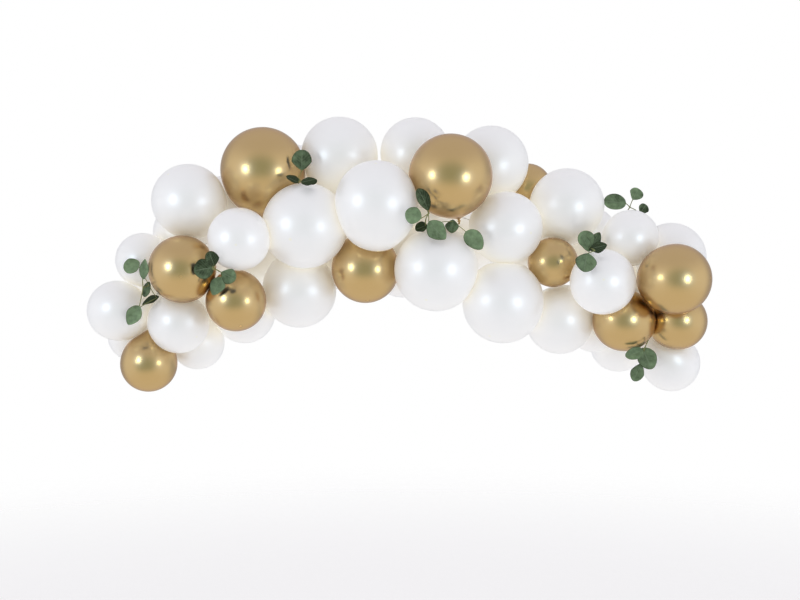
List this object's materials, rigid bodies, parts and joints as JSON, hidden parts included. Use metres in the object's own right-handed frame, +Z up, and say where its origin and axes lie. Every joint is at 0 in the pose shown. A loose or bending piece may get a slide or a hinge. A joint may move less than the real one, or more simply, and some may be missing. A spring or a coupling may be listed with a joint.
{
  "type": "balloon garland",
  "caption": "Arched balloon garland of white and chrome-gold latex balloons tied along a hidden perforated strip, dressed with eucalyptus sprigs; hangs by the strip.",
  "frame": {"origin": "middle of the strip's top face at the crown of the arch, where a hanging ribbon or hook holds it", "axes": "+X along the garland to the viewer's right, +Z up, the front faces -Y"},
  "size_m": [1.9544, 0.6668, 0.8753],
  "materials": {
    "white_latex": "opaque white latex, stretched smooth, satin sheen",
    "gold_latex": "chrome-gold latex, mirror-like with a soft haze",
    "strip_plastic": "thin translucent polyethylene band, satin",
    "eucalyptus": "dusty grey-green leaves, paler veins, olive stalks"
  },
  "bodies": {
    "root": {"white_balloon_01": "white_latex", "white_balloon_02": "white_latex", "white_balloon_03": "white_latex", "white_balloon_04": "white_latex", "white_balloon_05": "white_latex", "white_balloon_06": "white_latex", "white_balloon_07": "white_latex", "white_balloon_08": "white_latex", "white_balloon_09": "white_latex", "white_balloon_10": "white_latex", "white_balloon_11": "white_latex", "white_balloon_12": "white_latex", "white_balloon_13": "white_latex", "white_balloon_14": "white_latex", "white_balloon_15": "white_latex", "white_balloon_16": "white_latex", "white_balloon_17": "white_latex", "white_balloon_18": "white_latex", "white_balloon_19": "white_latex", "white_balloon_20": "white_latex", "white_balloon_21": "white_latex", "white_balloon_22": "white_latex", "white_balloon_23": "white_latex", "white_balloon_24": "white_latex", "white_balloon_25": "white_latex", "white_balloon_26": "white_latex", "white_balloon_27": "white_latex", "white_balloon_28": "white_latex", "white_balloon_29": "white_latex", "white_balloon_30": "white_latex", "white_balloon_31": "white_latex", "white_balloon_32": "white_latex", "white_balloon_33": "white_latex", "white_balloon_34": "white_latex", "white_balloon_35": "white_latex", "white_balloon_36": "white_latex", "white_balloon_37": "white_latex", "white_balloon_38": "white_latex", "white_balloon_39": "white_latex", "white_balloon_40": "white_latex", "gold_balloon_01": "gold_latex", "gold_balloon_02": "gold_latex", "gold_balloon_03": "gold_latex", "gold_balloon_04": "gold_latex", "gold_balloon_05": "gold_latex", "gold_balloon_06": "gold_latex", "gold_balloon_07": "gold_latex", "gold_balloon_08": "gold_latex", "gold_balloon_09": "gold_latex", "gold_balloon_10": "gold_latex", "gold_balloon_11": "gold_latex", "garland_strip": "strip_plastic", "eucalyptus_sprig_1": "eucalyptus", "eucalyptus_sprig_2": "eucalyptus", "eucalyptus_sprig_3": "eucalyptus", "eucalyptus_sprig_4": "eucalyptus", "eucalyptus_sprig_5": "eucalyptus", "eucalyptus_sprig_6": "eucalyptus", "eucalyptus_sprig_7": "eucalyptus"}
  },
  "joints": []
}
